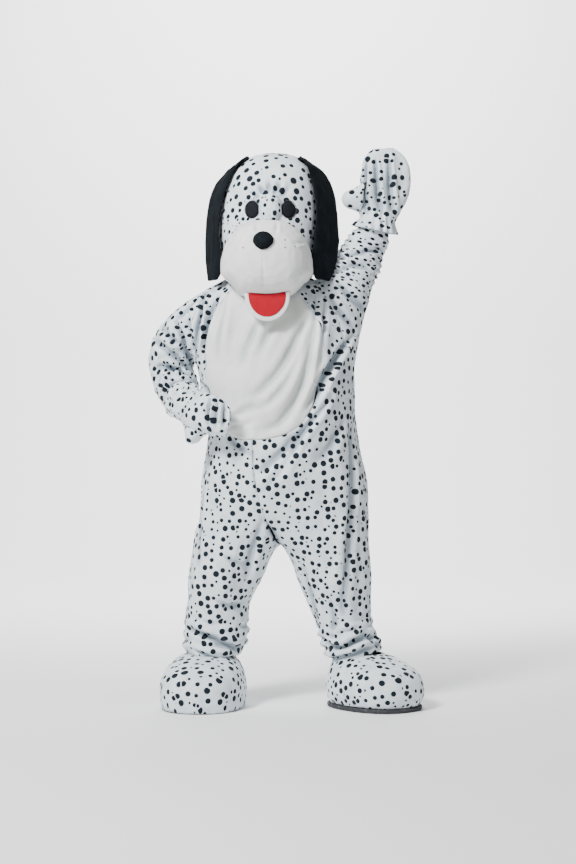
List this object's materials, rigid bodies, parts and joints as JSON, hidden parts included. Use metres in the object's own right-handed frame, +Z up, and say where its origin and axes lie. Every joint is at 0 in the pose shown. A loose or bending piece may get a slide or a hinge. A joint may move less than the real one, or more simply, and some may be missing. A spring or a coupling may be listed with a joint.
{
  "type": "spotted dog mascot costume",
  "caption": "Full-body spotted dog mascot costume in a waving pose: loose plush jumpsuit with a white belly, mitts, boot covers and a padded head with black ears.",
  "frame": {"origin": "between the wearer's shoulders, at the base of the neck, where the costume hangs from its wearer", "axes": "+Z up, -Y the way the costume's chest faces, +X towards the wearer's left"},
  "size_m": [0.9277, 0.4994, 1.8685],
  "materials": {
    "spotted_plush": "short-pile white plush with dark blue-grey round spots",
    "belly_plush": "plain white short-pile plush",
    "muzzle_plush": "plain white plush over foam",
    "black_plush": "black short-pile plush",
    "red_felt": "matt red felt",
    "eye_mesh": "dark grey see-through mesh",
    "sole_rubber": "matt black foam rubber",
    "zip_tape": "woven white tape",
    "zip_metal": "satin metal"
  },
  "bodies": {
    "costume": {"back_left": "spotted_plush", "back_right": "spotted_plush", "belly": "belly_plush", "boot_left": "spotted_plush", "boot_right": "spotted_plush", "ear_left": "black_plush", "ear_right": "black_plush", "eye_mesh_left": "eye_mesh", "eye_mesh_right": "eye_mesh", "front_left": "spotted_plush", "front_right": "spotted_plush", "head_back_left": "spotted_plush", "head_back_right": "spotted_plush", "head_front": "spotted_plush", "mitt_left_back": "spotted_plush", "mitt_left_palm": "spotted_plush", "mitt_left_thumb": "spotted_plush", "mitt_right_back": "spotted_plush", "mitt_right_palm": "spotted_plush", "mitt_right_thumb": "spotted_plush", "mouth_felt": "red_felt", "mouth_flap": "muzzle_plush", "muzzle": "muzzle_plush", "nose": "black_plush", "nose_bridge": "spotted_plush", "sleeve_left": "spotted_plush", "sleeve_right": "spotted_plush", "sole_left": "sole_rubber", "sole_right": "sole_rubber", "zip_slider": "zip_metal", "zip_tape_left": "zip_tape", "zip_tape_right": "zip_tape"},
    "zip_pull": {"zip_pull": "zip_metal"}
  },
  "joints": [
    {"name": "zip_pull_hinge", "type": "hinge", "parent": "costume", "child": "zip_pull", "pos_m": [0.01596, 0.11456, 0.01471], "axis": [0.9982, -0.0494, 0.0336], "range_deg": [0, 160]}
  ]
}
